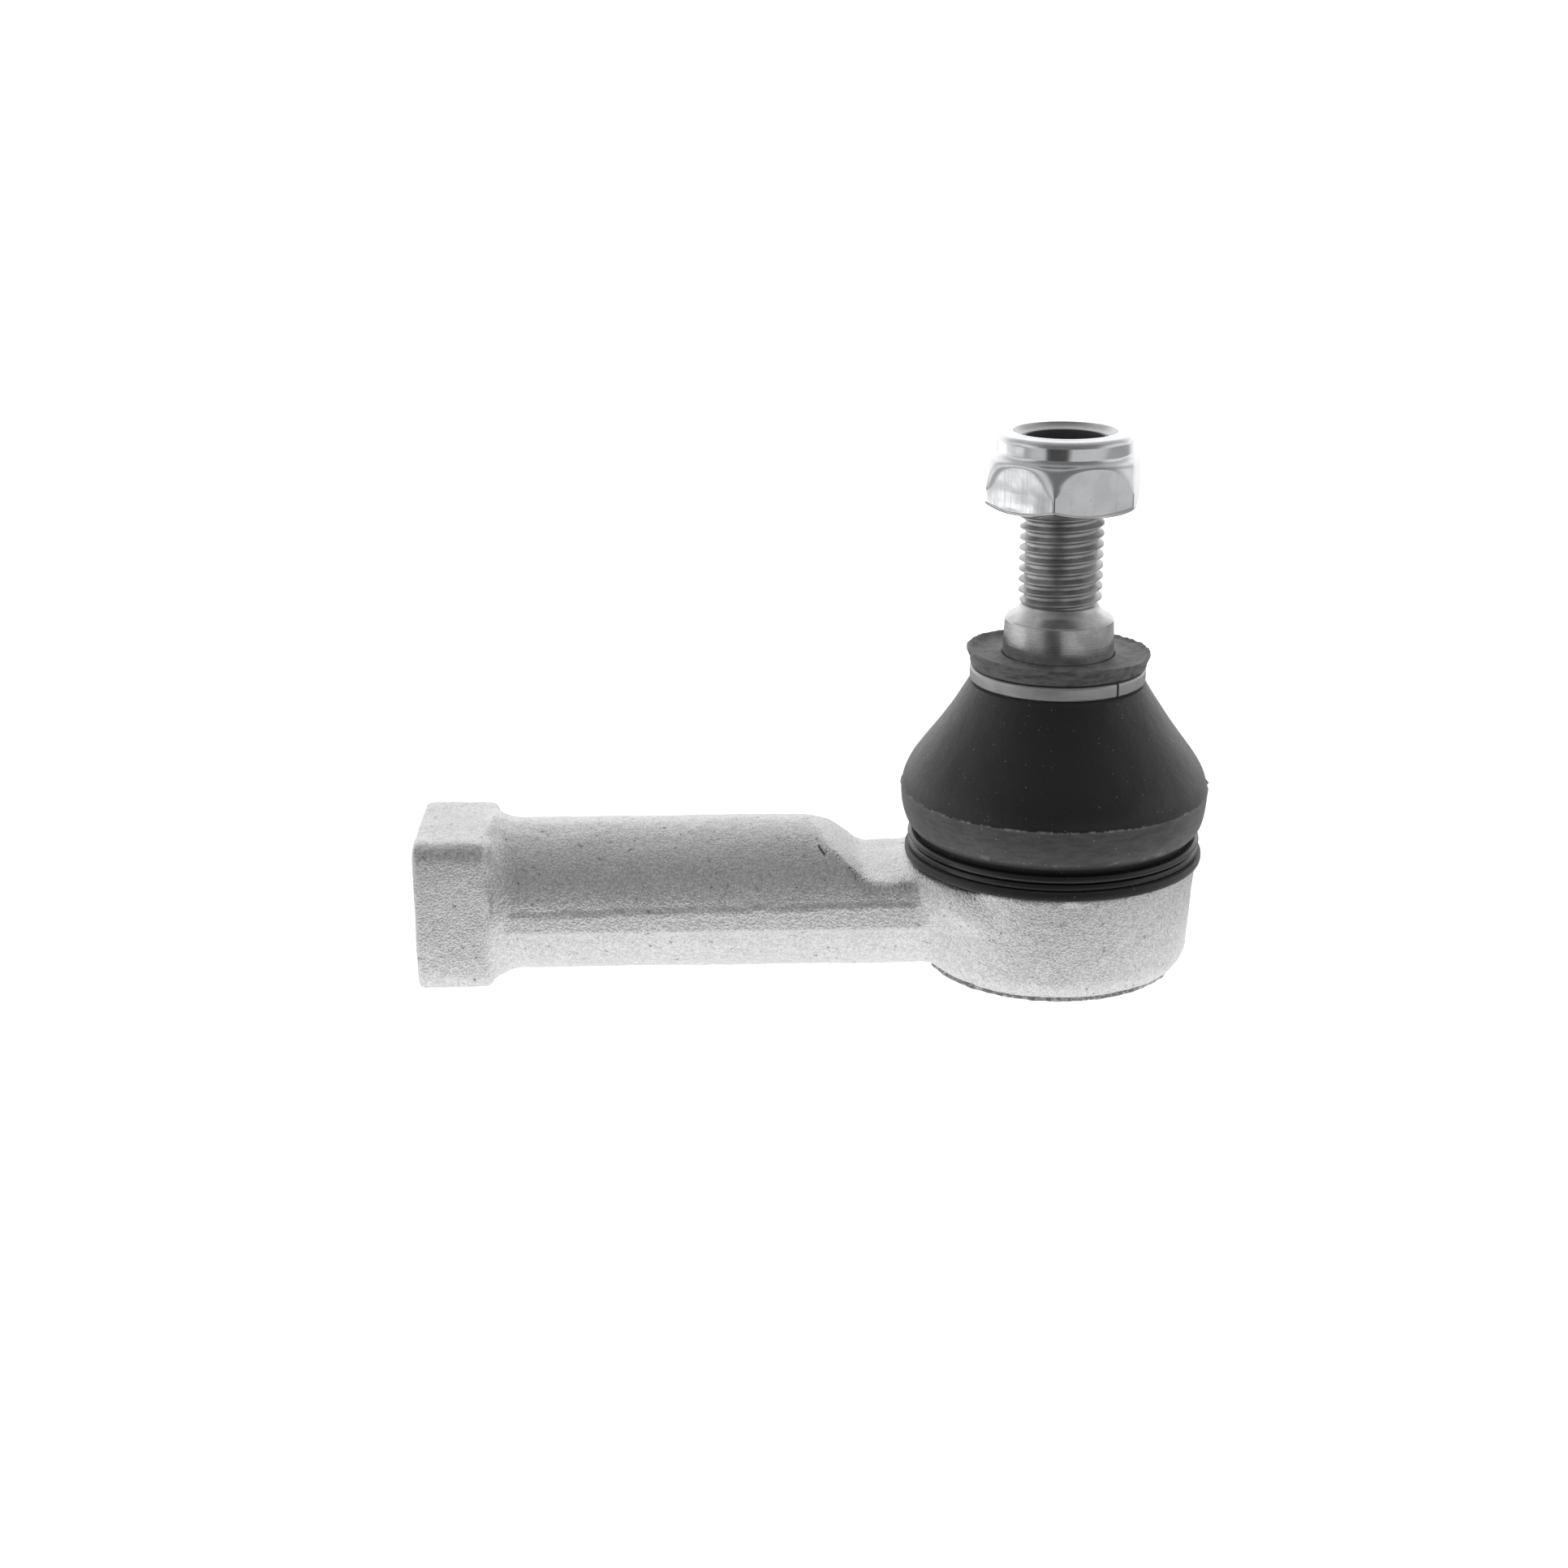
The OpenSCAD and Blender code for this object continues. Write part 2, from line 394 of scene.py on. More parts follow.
def settle(thing: Thing, crease: float) -> Thing:
    """Brings a finished solid to metres and shades it.

    Args:
        thing: An object in millimetres.
        crease: Angle in degrees above which an edge stays sharp.

    Returns:
        The same object.
    """
    thing.data.transform(Matrix.Scale(MM, 4))
    thing.data.shade_smooth()
    thing.data.set_sharp_from_angle(angle=math.radians(crease))
    thing.data.update()
    return thing


# ---- Shader sums ----


class Value:
    """A number's socket, on which Python's operators add Math nodes."""

    def __init__(self, graph: "Graph", socket: Socket) -> None:
        """Keeps the socket and the graph it is in."""
        self.graph = graph
        self.socket = socket

    def __add__(self, other: "Value | float") -> "Value":
        """self + other."""
        return self.graph.math("ADD", self, other)

    def __sub__(self, other: "Value | float") -> "Value":
        """self - other."""
        return self.graph.math("SUBTRACT", self, other)

    def __rsub__(self, other: float) -> "Value":
        """other - self."""
        return self.graph.math("SUBTRACT", other, self)

    def __mul__(self, other: "Value | float") -> "Value":
        """self * other."""
        return self.graph.math("MULTIPLY", self, other)

    def __truediv__(self, other: "Value | float") -> "Value":
        """self / other."""
        return self.graph.math("DIVIDE", self, other)

    def __pow__(self, other: float) -> "Value":
        """self ** other."""
        return self.graph.math("POWER", self, other)

    def size(self) -> "Value":
        """The number without its sign."""
        return self.graph.math("ABSOLUTE", self, 0.0)

    def rise(self, low: float, high: float) -> "Value":
        """0 at low, 1 at high and a smooth step between."""
        node = self.graph.node(
            "ShaderNodeMapRange",
            {"interpolation_type": "SMOOTHSTEP", "clamp": True},
            {"Value": self, "From Min": low, "From Max": high, "To Min": 0.0, "To Max": 1.0},
        )
        return Value(self.graph, node.outputs["Result"])

    def fall(self, low: float, high: float) -> "Value":
        """1 at low, 0 at high and a smooth step between."""
        return 1 - self.rise(low, high)


class Graph:
    """A node tree that is filled by calls."""

    def __init__(self, tree: bpy.types.NodeTree) -> None:
        """Clears the tree."""
        self.tree = tree
        tree.nodes.clear()

    def node(self, kind: str, settings: dict | None = None, inputs: dict | None = None) -> bpy.types.Node:
        """Adds a node.

        Args:
            kind: The node's type.
            settings: Its properties, set first.
            inputs: What each of its sockets gets: a Value, a socket, a number or a tuple.

        Returns:
            The node.
        """
        made = self.tree.nodes.new(kind)
        for name, value in (settings or {}).items():
            setattr(made, name, value)
        for name, value in (inputs or {}).items():
            socket = made.inputs[name]
            if isinstance(value, Value):
                self.tree.links.new(value.socket, socket)
            elif isinstance(value, Socket):
                self.tree.links.new(value, socket)
            elif isinstance(value, tuple) and len(value) == 3 and socket.type == "RGBA":
                socket.default_value = (*value, 1.0)
            else:
                socket.default_value = value
        return made

    def math(self, kind: str, first: "Value | float", second: "Value | float") -> Value:
        """A Math node's result."""
        made = self.node("ShaderNodeMath", {"operation": kind}, {0: first, 1: second})
        return Value(self, made.outputs[0])

    def mix(self, share: "Value | float", first: object, second: object) -> Socket:
        """The socket of a colour between two others: share 0 is the first and 1 the second."""
        made = self.node("ShaderNodeMix", {"data_type": "RGBA"}, {0: share, 6: first, 7: second})
        return made.outputs[2]

    def split(self, vector: Socket) -> tuple[Value, Value, Value]:
        """The three numbers of a vector."""
        made = self.node("ShaderNodeSeparateXYZ", None, {"Vector": vector})
        return tuple(Value(self, made.outputs[axis]) for axis in "XYZ")

    def join(self, x: "Value | float", y: "Value | float", z: "Value | float") -> Socket:
        """A vector of three numbers."""
        return self.node("ShaderNodeCombineXYZ", None, {"X": x, "Y": y, "Z": z}).outputs[0]


class Paint(Graph):
    """A material in the making. Its patterns are measured in millimetres."""

    def __init__(self, name: str) -> None:
        """Makes an empty material."""
        self.material = bpy.data.materials.new(name)
        self.material.use_nodes = True
        super().__init__(self.material.node_tree)
        self.coords = self.node("ShaderNodeTexCoord").outputs["Object"]

    def place(
        self, scale: Sequence[float] = (1, 1, 1), centre: Sequence[float] = (0, 0, 0), turn: Sequence[float] = (0, 0, 0)
    ) -> Socket:
        """Object coordinates in millimetres about a centre, turned in degrees; more scale makes patterns finer."""
        inputs = {
            "Vector": self.coords,
            "Location": tuple(c * MM for c in centre),
            "Rotation": tuple(math.radians(a) for a in turn),
            "Scale": tuple(MM / s for s in scale),
        }
        return self.node("ShaderNodeMapping", {"vector_type": "TEXTURE"}, inputs).outputs[0]

    def noise(self, at: Socket, per_mm: float, detail: float = 2.0, rough: float = 0.5) -> Value:
        """Cloudy noise from 0 to 1 with per_mm features in a millimetre."""
        inputs = {"Vector": at, "Scale": per_mm, "Detail": detail, "Roughness": rough}
        return Value(self, self.node("ShaderNodeTexNoise", None, inputs).outputs[0])

    def cells(self, at: Socket, per_mm: float) -> Value:
        """Distance from the middle of the nearest of per_mm cells in a millimetre."""
        return Value(self, self.node("ShaderNodeTexVoronoi", None, {"Vector": at, "Scale": per_mm}).outputs["Distance"])

    def bump(self, height: Value, depth_mm: float, under: Socket | None = None) -> Socket:
        """A normal that follows a height of depth_mm, on top of another normal."""
        inputs = {"Height": height, "Distance": depth_mm * MM, "Strength": 1.0}
        if under is not None:
            inputs["Normal"] = under
        return self.node("ShaderNodeBump", None, inputs).outputs[0]

    def finish(self, **sockets: object) -> Material:
        """Puts the shader on.

        Args:
            **sockets: Inputs of the shader, with _ for a space.

        Returns:
            The material.
        """
        named = {name.replace("_", " "): value for name, value in sockets.items()}
        shader = self.node("ShaderNodeBsdfPrincipled", None, named)
        self.node("ShaderNodeOutputMaterial", None, {"Surface": shader.outputs[0]})
        return self.material


# ---- Finishes ----


class Finish(ABC):
    """A finish that can be mixed as a material."""

    @abstractmethod
    def mixed(self) -> Material:
        """The finish as a material."""


@dataclass(frozen=True)
class BlastedZinc(Finish):
    """Forged steel, blasted and zinc plated: bright sandy grain with dark pits, and painted shade along the crimp
    groove under the head.
    """

    bright: Colour = (0.90, 0.90, 0.91)
    hollow: Colour = (0.50, 0.50, 0.51)
    # Dark pits of the grain; the same colour is the painted shade in the crimp groove.
    pit_and_groove_shade: Colour = (0.20, 0.20, 0.205)
    scratch: Colour = (0.07, 0.07, 0.07)
    scratch_at: tuple[float, float, float] = (-28.3, -6.6, 0.0)

    def mixed(self) -> Material:
        """The finish as a material."""
        paint = Paint("blasted_zinc_forging")
        at = paint.place()
        sand = paint.noise(at, 3.9, 2.0, 0.55)
        grit = paint.noise(at, 1.5, 2.0, 0.6)
        cloud = paint.noise(at, 0.25, 3.0)
        relief = sand * 0.75 + grit * 0.25
        tone = paint.mix(relief.fall(0.40, 0.60) * 0.58, self.bright, self.hollow)
        tone = paint.mix(cloud.rise(0.45, 0.70) * 0.10, tone, self.hollow)
        tone = paint.mix(grit.fall(0.28, 0.33) * 0.7, tone, self.pit_and_groove_shade)
        x, y, z = paint.split(paint.place(centre=self.scratch_at, turn=(0, -42, 0)))
        across, along, height = paint.split(at)
        # Painted shade: a dark line along the crimp groove at the head's lower edge, broken up by the grit.
        on_head = (across * across + along * along).fall(250.0, 256.0)
        groove = (height + 15.72).size().fall(0.12, 0.34) * grit.rise(0.36, 0.56) * on_head
        tone = paint.mix(groove * 0.8, tone, self.pit_and_groove_shade)
        mark = x.size().fall(0.08, 0.20) * z.size().fall(0.45, 0.75) * y.size().fall(1.5, 2.0)
        tone = paint.mix(mark * 0.85, tone, self.scratch)
        rough = sand * 0.2 + 0.32
        normal = paint.bump(relief, 0.2)
        return paint.finish(Base_Color=tone, Metallic=0.88, Roughness=rough, Normal=normal)


@dataclass(frozen=True)
class EvenMetal(Finish):
    """Metal or its coating with clouds and a fine grain, such as a cut bore."""

    name: str = "machined_bore"
    light: Colour = (0.56, 0.56, 0.57)
    dark: Colour = (0.34, 0.34, 0.35)
    cloud: float = 0.6
    grain: float = 6.0
    metallic: float = 0.95
    roughness: float = 0.27
    spread: float = 0.15
    depth: float = 0.012

    def mixed(self) -> Material:
        """The finish as a material."""
        paint = Paint(self.name)
        at = paint.place()
        tone = paint.mix(paint.noise(at, self.cloud, 3.0).rise(0.35, 0.7), self.light, self.dark)
        grain = paint.noise(at, self.grain, 2.0)
        rough = grain * self.spread + self.roughness
        normal = paint.bump(grain, self.depth)
        return paint.finish(Base_Color=tone, Metallic=self.metallic, Roughness=rough, Normal=normal)


@dataclass(frozen=True)
class TurnedSteel(Finish):
    """Bright turned steel of the stud, with fine rings left by the tool."""

    light: Colour = (0.62, 0.615, 0.62)
    dark: Colour = (0.37, 0.37, 0.375)
    thread_from: float = 28.5

    def mixed(self) -> Material:
        """The finish as a material."""
        paint = Paint("machined_steel")
        at = paint.place()
        rings = paint.noise(paint.place(scale=(0.03, 0.03, 6.0)), 1.0, 4.0, 0.7)
        cloud = paint.noise(at, 0.45, 3.0)
        specks = paint.noise(at, 3.5, 2.0, 0.6).rise(0.62, 0.70)
        _, _, z = paint.split(at)
        threaded = z.rise(self.thread_from - 0.6, self.thread_from)
        tone = paint.mix(cloud.rise(0.38, 0.68) * 0.6 + threaded * 0.3, self.light, self.dark)
        tone = paint.mix(specks * 0.35, tone, (0.18, 0.17, 0.16))
        rough = rings * 0.14 + 0.21 + threaded * 0.12
        height = rings * (1 - threaded * 0.8)
        return paint.finish(Base_Color=tone, Metallic=1.0, Roughness=rough, Normal=paint.bump(height, 0.012))


@dataclass(frozen=True)
class BrightZinc(Finish):
    """Bright zinc of the nut, with the upright marks of the drawn bar on its flats."""

    name: str = "bright_zinc"
    light: Colour = (0.74, 0.745, 0.76)
    dark: Colour = (0.57, 0.575, 0.59)
    roughness: float = 0.12

    def mixed(self) -> Material:
        """The finish as a material."""
        paint = Paint(self.name)
        at = paint.place()
        drawn = paint.noise(paint.place(scale=(1.0, 1.0, 0.05)), 3.2, 3.0, 0.6)
        cloud = paint.noise(at, 0.35, 2.0)
        specks = paint.noise(at, 2.8, 3.0, 0.6).rise(0.66, 0.74)
        tone = paint.mix(cloud.rise(0.35, 0.7) * 0.5 + drawn.rise(0.55, 0.72) * 0.3, self.light, self.dark)
        tone = paint.mix(specks * 0.3, tone, (0.25, 0.25, 0.26))
        rough = drawn * 0.10 + self.roughness
        normal = paint.bump(drawn, 0.002, paint.bump(cloud, 0.02))
        return paint.finish(Base_Color=tone, Metallic=1.0, Roughness=rough, Normal=normal)


@dataclass(frozen=True)
class BootRubber(Finish):
    """Black rubber: smooth above the mould's parting line, dusty below it and on the lip."""

    black: Colour = (0.013, 0.013, 0.014)
    worn: Colour = (0.115, 0.115, 0.116)
    lip: Colour = (0.19, 0.19, 0.191)
    dust: Colour = (0.55, 0.55, 0.54)
    seam: float = 6.15
    groove_top: float = 1.2
    lip_foot: float = 20.9

    def mixed(self) -> Material:
        """The finish as a material."""
        paint = Paint("boot_rubber")
        at = paint.place()
        _, _, z = paint.split(at)
        cloud = paint.noise(at, 0.22, 3.0)
        skin = paint.noise(at, 2.2, 3.0, 0.6)
        streaks = paint.noise(paint.place(scale=(1, 1, 4)), 0.5, 3.0, 0.6)
        below = z.fall(self.seam - 0.06, self.seam + 0.04) * z.rise(self.groove_top, self.groove_top + 0.9)
        tone = paint.mix(below * (streaks.rise(0.3, 0.7) * 0.55 + 0.6), self.black, self.worn)
        lip = z.rise(self.lip_foot, self.lip_foot + 0.3)
        tone = paint.mix(lip * (streaks.rise(0.35, 0.65) * 0.6 + 0.4), tone, self.lip)
        line = (z - self.seam).size().fall(0.03, 0.16)
        scuffs = line * paint.noise(at, 0.9, 3.0, 0.7).rise(0.48, 0.62)
        spots = paint.cells(at, 1.5).fall(0.06, 0.17)
        chosen = paint.noise(at, 0.6, 2.0).rise(0.50, 0.58) * (below * 0.4 + 0.6)
        low_edge = (z - 1.9).size().fall(0.1, 0.7) * paint.noise(at, 0.7, 3.0, 0.7).rise(0.58, 0.66)
        tone = paint.mix(scuffs * 0.5 + spots * chosen * 0.6 + low_edge * 0.25, tone, self.dust)
        rough = skin * 0.18 + 0.34 + (below + lip) * 0.14
        normal = paint.bump(skin, 0.03, paint.bump(cloud, 0.15))
        return paint.finish(
            Base_Color=tone, Roughness=rough, Normal=normal, Specular_IOR_Level=0.45, Sheen_Weight=0.35
        )


@dataclass(frozen=True)
class BlackWire(Finish):
    """Spring wire with glossy black paint."""

    black: Colour = (0.012, 0.012, 0.013)
    chip: Colour = (0.10, 0.10, 0.10)

    def mixed(self) -> Material:
        """The finish as a material."""
        paint = Paint("black_wire")
        at = paint.place()
        ripple = paint.noise(at, 1.4, 3.0)
        tone = paint.mix(ripple.rise(0.62, 0.74) * 0.6, self.black, self.chip)
        return paint.finish(
            Base_Color=tone, Roughness=ripple * 0.15 + 0.16, Normal=paint.bump(ripple, 0.02), Specular_IOR_Level=0.6
        )


@dataclass(frozen=True)
class Plastic(Finish):
    """A moulded plastic: the nut's nylon with painted shade down its bore, or the seats' acetal."""

    name: str
    light: Colour
    shade: Colour
    bore_r: float = 0.0
    # Painted shade: the colour inside bore_r, standing in for the shade down the bore.
    bore_shade: Colour = (0.085, 0.082, 0.092)

    def mixed(self) -> Material:
        """The finish as a material."""
        paint = Paint(self.name)
        at = paint.place()
        cloud = paint.noise(at, 0.4, 3.0)
        grain = paint.noise(at, 3.0, 2.0)
        tone = paint.mix(cloud.rise(0.3, 0.7), self.light, self.shade)
        # Painted shade: inside bore_r the ring turns dark, for the shade down its bore.
        x, y, _ = paint.split(at)
        within = (x * x + y * y).fall(self.bore_r**2, (self.bore_r + 0.05) ** 2)
        tone = paint.mix(within, tone, self.bore_shade)
        return paint.finish(Base_Color=tone, Roughness=grain * 0.2 + 0.3, Normal=paint.bump(grain, 0.015))


@dataclass(frozen=True)
class PressedSteel(Finish):
    """Sheet or spring steel with a thin plating."""

    name: str
    light: Colour
    shade: Colour
    roughness: float

    def mixed(self) -> Material:
        """The finish as a material."""
        paint = Paint(self.name)
        at = paint.place()
        cloud = paint.noise(at, 0.35, 3.0)
        grain = paint.noise(at, 3.2, 3.0, 0.6)
        tone = paint.mix(cloud.rise(0.35, 0.7) * 0.3 + grain.rise(0.6, 0.75) * 0.3, self.light, self.shade)
        normal = paint.bump(grain, 0.03)
        return paint.finish(Base_Color=tone, Metallic=0.95, Roughness=grain * 0.2 + self.roughness, Normal=normal)


# ---- Sub-assemblies ----


class SubAssembly(ABC):
    """A part of the tie rod end that makes, dresses and hands over its own pieces."""

    @abstractmethod
    def build(self) -> list[Thing]:
        """Makes the pieces, dressed and on their bodies."""


def hand_over(piece: Thing, body: Body, node: str) -> Thing:
    """Hides the CAD node that a piece stands for and puts the piece on the body it rides on."""
    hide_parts(node)
    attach(piece, body.value)
    return piece


@dataclass
class Housing(SubAssembly):
    """Forged head and shank with the threaded socket."""

    box: Box = field(default_factory=lambda: cad_box("housing"))
    axis_z: float = -7.0
    shank_r: float = 9.2
    collar_w: float = 18.6
    collar_l: float = 9.2
    collar_round: float = 2.2
    collar_slope: float = 2.2
    head_r: float = 17.3
    head_top_r: float = 16.9
    ledge_r: float = 18.7
    ledge_low: float = -7.0
    shoulder: float = -2.5
    neck_flat: float = -3.35
    slope_top: float = -29.0
    slope_foot: float = -23.0
    foot: float = -16.2
    edge: float = -15.5
    voxel: float = 0.36
    band_top: float = -6.15
    band_low: float = -9.05
    band_y: float = 9.32
    socket_root: float = 5.32
    socket_crest: float = 6.06
    socket_l: float = 42.0
    pitch: float = 1.25

    def build(self) -> list[Thing]:
        """Makes the pieces, dressed and on their bodies."""
        zinc = BlastedZinc().mixed()
        bore = EvenMetal().mixed()
        piece = self._blank(zinc)
        self._forge(piece)
        combine(piece, self._crimp().take(self._boss()).solid("crimp_and_boss", zinc), Join.ADD)
        combine(piece, self._tools(bore), Join.CUT)
        settle(piece, crease=50)
        return [hand_over(piece, Body.HOUSING, "housing")]

    def _blank(self, paint: Material) -> Thing:
        """Head, shank, neck and collar as one remeshed lump."""
        end = self.box[0].x
        form = Form()
        head = [
            (0.0, self.edge), (15.35, self.edge), (15.75, self.edge + 0.35), (16.55, -13.8),
            (self.head_r, self.shoulder), (0.0, self.shoulder),
        ]
        form.lathe(head, ROUND)
        low, high = self.ledge_low, self.shoulder - 0.2
        form.lathe([(0.0, low), (self.ledge_r, low), (self.ledge_r, high), (0.0, high)], ROUND)
        form.resize(self._keep_ledge)
        shank = Form()
        length = -end - self.collar_l / 2
        shank.lathe(dense([(0.0, 0.0), (self.shank_r, 0.0), (self.shank_r, length), (0.0, length)], 0.5), ROUND)
        shank.lay_along_shank(self.axis_z).shape(self._step_down)
        collar = Form()
        bmesh.ops.create_cube(collar.bm, size=1.0)
        bmesh.ops.scale(collar.bm, vec=(self.collar_l, self.collar_w, self.collar_w), verts=collar.bm.verts)
        bmesh.ops.translate(collar.bm, vec=(end + self.collar_l / 2, 0, self.axis_z), verts=collar.bm.verts)
        along = [e for e in collar.bm.edges if abs(e.verts[0].co.x - e.verts[1].co.x) > 1]
        bmesh.ops.bevel(
            collar.bm, geom=along, offset=self.collar_round, offset_type="OFFSET", affect="EDGES",
            segments=8, profile=0.5, material=-1,
        )
        cone = Form()
        near = -end - self.collar_l
        low, high = near - self.collar_slope, near + 0.3
        profile = [(0.0, low), (self.shank_r - 0.2, low), (self.shank_r + 1.3, high), (0.0, high)]
        cone.lathe(profile, 96).lay_along_shank(self.axis_z)
        blank = form.take(shank).take(collar).take(cone).solid("housing_forging", paint)
        modifier = blank.modifiers.new("even", "REMESH")
        modifier.mode = "VOXEL"
        modifier.voxel_size = self.voxel
        modifier.adaptivity = 0.0
        apply_modifiers(blank)
        return blank

    def _keep_ledge(self, co: Vector, reach: float) -> float:
        """Draws the wider disc in to the head, except beside the neck."""
        if reach < self.head_r + 0.2:
            return reach
        azimuth = math.degrees(math.atan2(co.y, -co.x))
        return self.head_top_r + (self.ledge_r - self.head_top_r) * ease(abs(azimuth), 62, 38)

    def _step_down(self, co: Vector) -> Vector:
        """Lowers the top of the shank to the slope and the flat neck."""
        share = min(1.0, max(0.0, (co.x - self.slope_top) / (self.slope_foot - self.slope_top)))
        top = self.axis_z + self.shank_r
        ceiling = top + (self.neck_flat - top) * share
        return Vector((co.x, co.y, min(co.z, ceiling)))

    def _forge(self, piece: Thing) -> None:
        """Softens the blends, then adds the hammered skin and the trimmed band.

        Args:
            piece: The remeshed blank, which is changed.
        """
        bm = bmesh.new()
        bm.from_mesh(piece.data)
        end = self.box[0].x
        collar = end + self.collar_l

        def near_blend(reach: float) -> list[bmesh.types.BMVert]:
            """Vertices within reach of a blend."""
            chosen = []
            for vert in bm.verts:
                x, y, z = vert.co
                radius = math.hypot(x, y)
                at_head = -21.5 < x < -10 and abs(radius - 17.6) < reach and z > -16
                at_collar = abs(x - collar - 1.0) < reach * 0.7
                at_foot = abs(x - self.slope_foot) < reach and z > -5.5
                at_top = abs(x - self.slope_top) < reach * 0.6 and z > -1.5
                if at_head or at_collar or at_foot or at_top:
                    chosen.append(vert)
            return chosen

        def soften(verts: list[bmesh.types.BMVert], rounds: int) -> None:
            """Smooths the chosen vertices some rounds."""
            for _ in range(rounds):
                bmesh.ops.smooth_vert(bm, verts=verts, factor=0.5, use_axis_x=True, use_axis_y=True, use_axis_z=True)

        for reach, rounds in ((3.4, 8), (2.6, 10), (1.8, 12)):
            soften(near_blend(reach), rounds)
        soften(list(bm.verts), 4)
        bm.normal_update()
        for vert in bm.verts:
            co = vert.co
            swell = noise.noise(co * 0.16) * 0.10 + noise.noise(co * 0.55) * 0.05
            grain = noise.noise(co * 1.7) * 0.035
            flat = ease(co.z, self.shoulder - 0.7, self.shoulder - 0.2) * ease(math.hypot(co.x, co.y), 18.0, 17.0)
            vert.co = co + vert.normal * (swell + grain - 0.05) * (1 - flat)
        for vert in bm.verts:
            self._trim_band(vert)
            vert.co.z = max(vert.co.z, self.box[0].z)
        bm.to_mesh(piece.data)
        bm.free()

    def _trim_band(self, vert: bmesh.types.BMVert) -> None:
        """Pushes the side of the shank out to the flat left where the flash was trimmed."""
        x, y, z = vert.co
        if not self.box[0].x + self.collar_l + 1.5 < x < -14 or abs(y) < 7.5:
            return
        wave = 0.22 * noise.noise(Vector((x * 0.35, 0, 4))) + 0.10 * noise.noise(Vector((x * 1.6, 0, 9)))
        high = self.band_top + 0.018 * (x + 40) + wave
        share = ease(z, high + 0.22, high - 0.12) * ease(z, self.band_low - 0.35, self.band_low + 0.25)
        share *= ease(x, -14, -18)
        vert.co.y = math.copysign(abs(y) + (self.band_y - abs(y)) * share, y)

    def _crimp(self) -> Form:
        """Rolled lip under the head, a little uneven."""
        outline = dense(
            [
                (12.2, -15.1), (14.75, -15.1), (14.7, -15.5), (15.0, -15.7), (15.12, -15.95),
                (14.85, self.foot + 0.04), (14.3, self.foot), (12.2, self.foot), (12.2, -15.1),
            ],
            0.22,
        )[:-1]

        def uneven(co: Vector) -> Vector:
            """Moves the outer face in and out."""
            reach = math.hypot(co.x, co.y)
            share = ease(reach, 14.0, 14.8)
            push = (noise.noise(co * 0.9) * 0.16 + noise.noise(co * 2.6) * 0.09) * share
            lift = (noise.noise(co * 0.8 + Vector((9, 9, 9))) * 0.10 + 0.05) * share
            wide = (reach + push) / reach
            return Vector((co.x * wide, co.y * wide, co.z + lift))

        return Form().lathe(outline, 360, closed=True).shape(uneven)

    def _boss(self) -> Form:
        """Machined groove, land and cone that the boot's bead grips."""
        groove, land, top = 15.0, 16.0, 8.0
        outline = [
            (0.0, -5.0), (groove, -5.0), (groove, 0.4), (land - 0.05, 0.4), (land, 0.5), (land, 1.6), (13.2, top),
            (0.0, top),
        ]
        return Form().lathe(outline, ROUND)

    def _cavity(self) -> Form:
        """Room for the seats, the spring and the plug, and the mouth round the stud."""
        open_r, plug_r, seat_r, mouth_r = 12.9, 13.9, 13.0, 10.3
        low, high = -15.3, -13.3
        outline = [
            (0.0, self.foot - 1), (open_r, self.foot - 1), (open_r, low), (plug_r, low), (plug_r, high),
            (seat_r, high), (seat_r, 4.5), (mouth_r, 8.0), (mouth_r, 9.0), (0.0, 9.0),
        ]
        return Form().lathe(outline, ROUND)

    def _tools(self, paint: Material) -> Thing:
        """Everything that is cut out: the cavity, and the socket's drill, tap and countersink.

        Args:
            paint: Finish of the cut faces.

        Returns:
            The cutting tool.
        """
        end = -self.box[0].x
        start = end - self.socket_l
        tap = Form().thread(
            self.socket_root, self.socket_crest, self.pitch, start, end + 0.8, phase=start, steps=60
        )

        def run_out(co: Vector, reach: float) -> float:
            """Fades the thread at the socket's bottom."""
            return self.socket_root + (reach - self.socket_root) * ease(co.z, start + 1.0, start + 3.5)

        tap.resize(run_out)
        high, drill_r, sink_r = start + 0.3, self.socket_root - 0.03, self.socket_crest + 0.49
        drill = Form().lathe([(0.0, start - 3.0), (0.3, start - 2.7), (drill_r, high), (0.0, high)], 60)
        sink = Form().lathe(
            [(0.0, end - 1.0), (5.2, end - 1.0), (sink_r, end + 0.3), (sink_r, end + 1), (0.0, end + 1)], 96
        )
        tool = tap.lay_along_shank(self.axis_z).solid("tools", paint)
        drills = drill.lay_along_shank(self.axis_z).take(sink.lay_along_shank(self.axis_z)).solid("drill")
        combine(tool, drills, Join.ADD)
        combine(tool, self._cavity().solid("cavity"), Join.ADD)
        return tool


